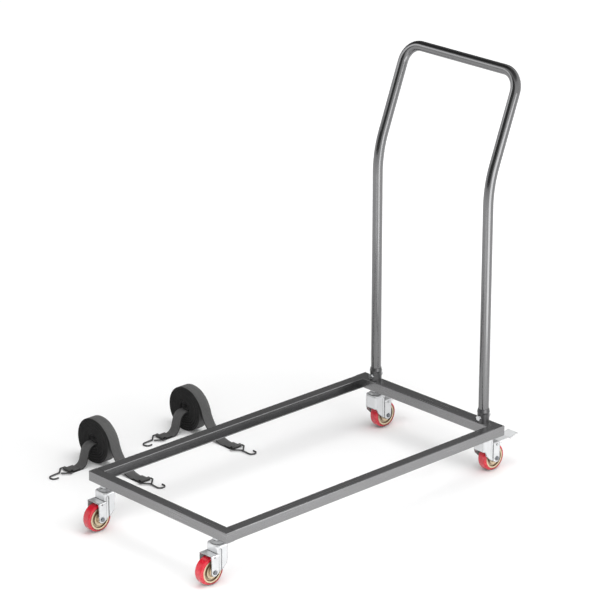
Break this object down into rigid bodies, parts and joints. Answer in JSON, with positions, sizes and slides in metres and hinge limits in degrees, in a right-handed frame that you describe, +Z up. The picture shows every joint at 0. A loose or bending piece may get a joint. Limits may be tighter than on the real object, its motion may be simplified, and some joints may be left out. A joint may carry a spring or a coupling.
{
  "type": "folding chair cart",
  "caption": "Open steel base on swivel casters with a leaning tube push handle and rolled tie straps, for moving stacks of folded chairs.",
  "frame": {"origin": "on the floor, under the middle of the cart's box (front wheel treads to the back of the handle), the loose straps left out", "axes": "+X to the cart's right, +Y to its rear, where the handle stands, +Z up"},
  "size_m": [0.8889, 1.1586, 1.107],
  "materials": {
    "frame_paint": "satin",
    "zinc": "satin",
    "fork_chrome": "bright plated",
    "race_cover": "bright plated",
    "wheel_core": "satin",
    "tyre": "satin",
    "webbing": "woven",
    "hook_wire": "dull plated"
  },
  "bodies": {
    "frame": {"front_rail": "frame_paint", "rear_rail": "frame_paint", "left_rail": "frame_paint", "right_rail": "frame_paint", "rail_end_plates": "frame_paint", "caster_nuts": "zinc", "left_socket": "frame_paint", "right_socket": "frame_paint", "push_handle": "frame_paint", "socket_bolts": "zinc", "socket_nuts": "zinc", "front_left_stem": "zinc", "front_left_race": "race_cover", "front_right_stem": "zinc", "front_right_race": "race_cover", "rear_left_stem": "zinc", "rear_left_race": "race_cover", "rear_right_stem": "zinc", "rear_right_race": "race_cover"},
    "front_left_swivel": {"front_left_fork": "fork_chrome", "front_left_axle_bolt": "zinc", "front_left_axle_nut": "zinc", "front_left_bush": "zinc"},
    "front_left_wheel": {"front_left_wheel_core": "wheel_core", "front_left_tyre": "tyre"},
    "front_right_swivel": {"front_right_fork": "fork_chrome", "front_right_axle_bolt": "zinc", "front_right_axle_nut": "zinc", "front_right_bush": "zinc"},
    "front_right_wheel": {"front_right_wheel_core": "wheel_core", "front_right_tyre": "tyre"},
    "rear_left_brake": {"rear_left_brake_lever": "fork_chrome"},
    "rear_left_swivel": {"rear_left_fork": "fork_chrome", "rear_left_axle_bolt": "zinc", "rear_left_axle_nut": "zinc", "rear_left_bush": "zinc", "rear_left_brake_pin": "zinc"},
    "rear_left_wheel": {"rear_left_wheel_core": "wheel_core", "rear_left_tyre": "tyre"},
    "rear_right_brake": {"rear_right_brake_lever": "fork_chrome"},
    "rear_right_swivel": {"rear_right_fork": "fork_chrome", "rear_right_axle_bolt": "zinc", "rear_right_axle_nut": "zinc", "rear_right_bush": "zinc", "rear_right_brake_pin": "zinc"},
    "rear_right_wheel": {"rear_right_wheel_core": "wheel_core", "rear_right_tyre": "tyre"},
    "first_strap": {"first_strap_roll": "webbing", "first_strap_tail": "webbing"},
    "first_outer_hook": {"first_outer_hook": "hook_wire"},
    "first_inner_hook": {"first_inner_hook": "hook_wire"},
    "second_strap": {"second_strap_roll": "webbing", "second_strap_tail": "webbing"},
    "second_outer_hook": {"second_outer_hook": "hook_wire"},
    "second_inner_hook": {"second_inner_hook": "hook_wire"}
  },
  "joints": [
    {"name": "front_left_swivel", "type": "hinge", "parent": "frame", "child": "front_left_swivel", "pos_m": [-0.217, -0.51183, 0.106], "axis": [0, 0, 1], "continuous": true},
    {"name": "front_left_roll", "type": "hinge", "parent": "front_left_swivel", "child": "front_left_wheel", "pos_m": [-0.217, -0.54183, 0.0375], "axis": [1, 0, 0], "continuous": true},
    {"name": "front_right_swivel", "type": "hinge", "parent": "frame", "child": "front_right_swivel", "pos_m": [0.217, -0.51183, 0.106], "axis": [0, 0, 1], "continuous": true},
    {"name": "front_right_roll", "type": "hinge", "parent": "front_right_swivel", "child": "front_right_wheel", "pos_m": [0.217, -0.54183, 0.0375], "axis": [1, 0, 0], "continuous": true},
    {"name": "rear_left_swivel", "type": "hinge", "parent": "frame", "child": "rear_left_swivel", "pos_m": [-0.207, 0.45517, 0.106], "axis": [0, 0, 1], "continuous": true},
    {"name": "rear_left_roll", "type": "hinge", "parent": "rear_left_swivel", "child": "rear_left_wheel", "pos_m": [-0.207, 0.48517, 0.0375], "axis": [1, 0, 0], "continuous": true},
    {"name": "rear_left_brake", "type": "hinge", "parent": "rear_left_swivel", "child": "rear_left_brake", "pos_m": [-0.207, 0.48517, 0.0782], "axis": [-1, 0, 0], "range_deg": [0, 12]},
    {"name": "rear_right_swivel", "type": "hinge", "parent": "frame", "child": "rear_right_swivel", "pos_m": [0.207, 0.45517, 0.106], "axis": [0, 0, 1], "continuous": true},
    {"name": "rear_right_roll", "type": "hinge", "parent": "rear_right_swivel", "child": "rear_right_wheel", "pos_m": [0.207, 0.48517, 0.0375], "axis": [1, 0, 0], "continuous": true},
    {"name": "rear_right_brake", "type": "hinge", "parent": "rear_right_swivel", "child": "rear_right_brake", "pos_m": [0.207, 0.48517, 0.0782], "axis": [-1, 0, 0], "range_deg": [0, 12]},
    {"name": "first_strap_lift", "type": "slide", "parent": "frame", "child": "first_strap", "axis": [0, 0, 1], "range_m": [0, 0.4]},
    {"name": "first_outer_hook_swing", "type": "hinge", "parent": "first_strap", "child": "first_outer_hook", "pos_m": [-0.36681, -0.25324, 0.00555], "axis": [0, -1, 0], "range_deg": [0, 80]},
    {"name": "first_inner_hook_swing", "type": "hinge", "parent": "first_strap", "child": "first_inner_hook", "pos_m": [-0.56, -0.35886, 0.00555], "axis": [-1, 0, 0], "range_deg": [0, 80]},
    {"name": "second_strap_lift", "type": "slide", "parent": "frame", "child": "second_strap", "axis": [0, 0, 1], "range_m": [0, 0.4]},
    {"name": "second_outer_hook_swing", "type": "hinge", "parent": "second_strap", "child": "second_outer_hook", "pos_m": [-0.36681, 0.07676, 0.00555], "axis": [0, -1, 0], "range_deg": [0, 80]},
    {"name": "second_inner_hook_swing", "type": "hinge", "parent": "second_strap", "child": "second_inner_hook", "pos_m": [-0.56, -0.02886, 0.00555], "axis": [-1, 0, 0], "range_deg": [0, 80]}
  ]
}
